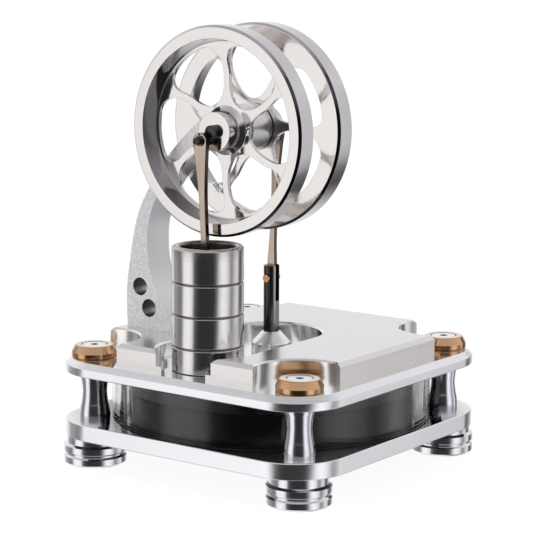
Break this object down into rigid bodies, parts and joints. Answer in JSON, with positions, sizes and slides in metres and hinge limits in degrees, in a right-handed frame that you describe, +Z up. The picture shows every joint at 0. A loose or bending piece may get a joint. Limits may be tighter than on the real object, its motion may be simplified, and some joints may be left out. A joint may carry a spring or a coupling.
{
  "type": "stirling engine model",
  "caption": "Small hot-air engine on a square base: round displacer chamber, upright power cylinder, arched bracket and twin spoked flywheels on one crankshaft.",
  "frame": {"origin": "centre of the ground plane under the four feet", "axes": "+Z up, +Y from the power cylinder towards the displacer rod along the crankshaft, +X to the right when seen from the power cylinder side"},
  "size_m": [0.098, 0.098, 0.1326],
  "materials": {
    "plate_steel": "mirror polished",
    "foot_steel": "polished",
    "pillar_steel": "polished",
    "turned_steel": "polished turned",
    "block_aluminium": "fine brushed",
    "bracket_aluminium": "sand blasted",
    "wheel_aluminium": "satin turned",
    "bronze": "polished",
    "conrod_brass": "fine brushed",
    "bright_steel": "polished",
    "black_steel": "blackened",
    "shaft_steel": "ground",
    "bearing_steel": "polished",
    "piston_graphite": "ground",
    "clear_tube": "clear",
    "black_seal": "matte",
    "displacer_black": "gloss"
  },
  "bodies": {
    "frame": {"front_left_foot": "foot_steel", "front_right_foot": "foot_steel", "rear_right_foot": "foot_steel", "rear_left_foot": "foot_steel", "foot_screws": "black_steel", "base_plate": "plate_steel", "lower_seal": "black_seal", "displacer_tube": "clear_tube", "upper_seal": "black_seal", "front_left_pillar": "pillar_steel", "front_right_pillar": "pillar_steel", "rear_right_pillar": "pillar_steel", "rear_left_pillar": "pillar_steel", "top_plate": "plate_steel", "cap_nuts": "bronze", "cap_screws": "bright_steel", "cover_block": "block_aluminium", "block_screws": "black_steel", "power_cylinder": "turned_steel", "cylinder_gasket": "black_seal", "bracket": "bracket_aluminium", "bracket_screws": "black_steel", "front_bearing_outer": "bearing_steel", "front_bearing_balls": "bearing_steel", "rear_bearing_outer": "bearing_steel", "rear_bearing_balls": "bearing_steel", "rod_gland": "turned_steel", "gland_bush": "bronze"},
    "crank": {"crankshaft": "shaft_steel", "front_flywheel": "wheel_aluminium", "rear_flywheel": "wheel_aluminium", "hub_set_screws": "black_steel", "front_crank": "black_steel", "rear_crank": "black_steel", "crank_pin_clips": "shaft_steel", "front_bearing_inner": "bearing_steel", "rear_bearing_inner": "bearing_steel"},
    "power_link": {"power_conrod": "conrod_brass", "power_conrod_bushes": "bronze"},
    "displacer_link": {"displacer_conrod": "conrod_brass", "displacer_conrod_bushes": "bronze"},
    "power_piston": {"power_piston": "piston_graphite", "wrist_pin": "bright_steel"},
    "displacer": {"displacer": "displacer_black", "displacer_nut": "bright_steel", "displacer_rod": "bright_steel", "displacer_clevis": "shaft_steel", "clevis_pin": "bronze"}
  },
  "joints": [
    {"name": "flywheel_spin", "type": "hinge", "parent": "frame", "child": "crank", "pos_m": [0, -0.0153, 0.1019], "axis": [0, 1, 0], "continuous": true},
    {"name": "power_conrod_pivot", "type": "hinge", "parent": "crank", "child": "power_link", "pos_m": [-0.00247, -0.0312, 0.09943], "axis": [0, 1, 0], "continuous": true},
    {"name": "displacer_conrod_pivot", "type": "hinge", "parent": "crank", "child": "displacer_link", "pos_m": [0.00198, 0, 0.09992], "axis": [0, 1, 0], "continuous": true},
    {"name": "power_piston_travel", "type": "slide", "parent": "frame", "child": "power_piston", "axis": [0, 0, 1], "range_m": [-0.00108, 0.00591]},
    {"name": "displacer_travel", "type": "slide", "parent": "frame", "child": "displacer", "axis": [0, 0, 1], "range_m": [-0.00086, 0.00473]}
  ],
  "couplings": [
    {"joint": "power_conrod_pivot", "follows": "flywheel_spin", "ratio": -1},
    {"joint": "displacer_conrod_pivot", "follows": "flywheel_spin", "ratio": -1}
  ]
}
